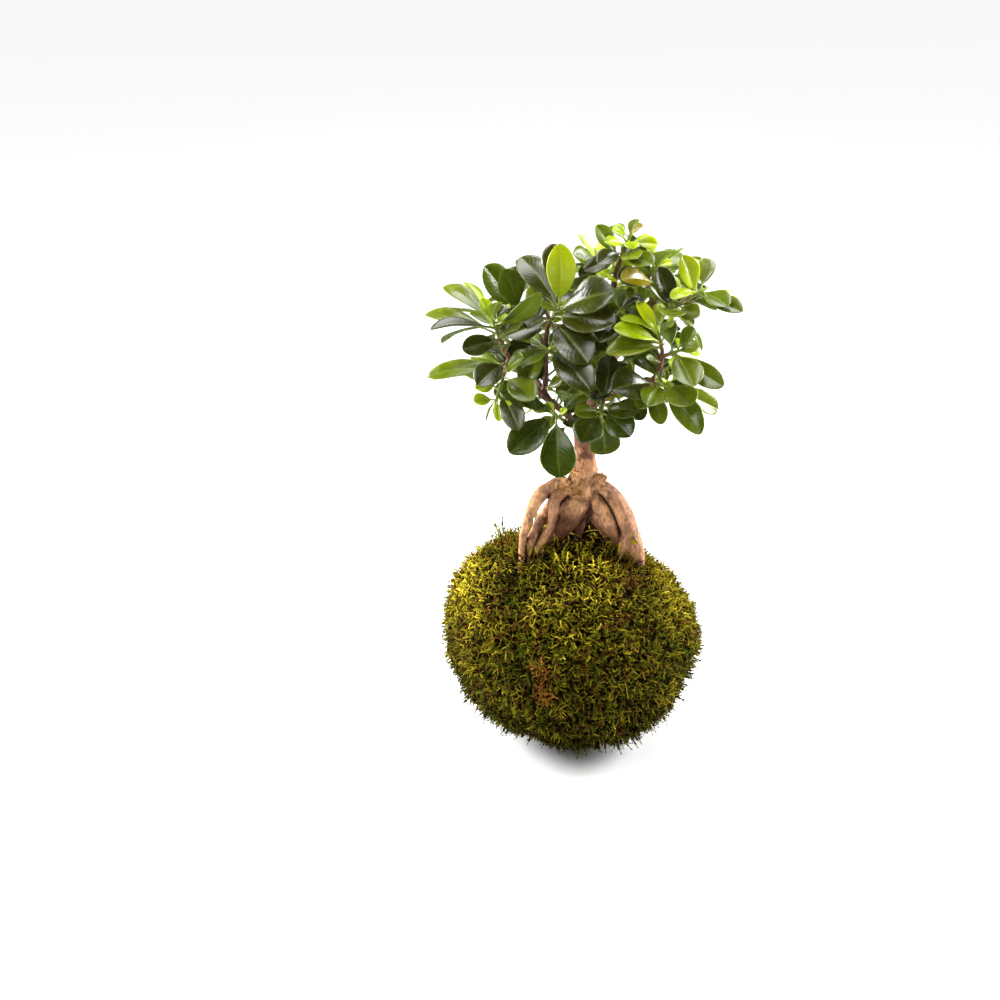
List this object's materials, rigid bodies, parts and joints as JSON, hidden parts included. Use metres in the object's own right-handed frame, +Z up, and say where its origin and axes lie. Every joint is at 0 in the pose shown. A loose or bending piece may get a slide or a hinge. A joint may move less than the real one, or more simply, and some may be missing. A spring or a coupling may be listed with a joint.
{
  "type": "kokedama moss ball plant",
  "caption": "Small glossy-leaved fig tree with exposed arching roots, growing out of a soil ball wrapped in living moss.",
  "frame": {"origin": "point on the flat resting spot, on the upright line through the middle of the moss ball", "axes": "+Z up along the trunk; -Y towards the side of the plant that is looked at; +X to that viewer's right"},
  "size_m": [0.2058, 0.1892, 0.3707],
  "materials": {
    "soil": "moist dark clay soil, crumbly and dull",
    "moss": "deep shaggy cushion of yellow-green feathery moss, dull",
    "bark": "smooth pinkish tan bark with darker creases, satin",
    "leaf": "glossy leathery leaf, dark green when grown and lime green at the tips"
  },
  "bodies": {
    "root": {"soil_ball": "soil", "moss_cover": "moss", "trunk": "bark", "spray_left": "leaf", "spray_left_behind": "leaf", "spray_crown": "leaf", "spray_middle": "leaf", "spray_left_low": "leaf", "spray_low": "leaf", "spray_low_right": "leaf", "spray_right": "leaf", "spray_right_low": "leaf", "spray_right_out": "leaf", "spray_right_high": "leaf", "spray_right_middle": "leaf", "spray_upper_right": "leaf", "spray_top": "leaf", "spray_upper_middle": "leaf", "spray_inner": "leaf", "spray_inner_high": "leaf", "spray_far_left": "leaf", "spray_far_left_middle": "leaf", "spray_far_low": "leaf", "spray_far_right": "leaf", "spray_far_middle": "leaf", "spray_far_upper_right": "leaf"}
  },
  "joints": []
}
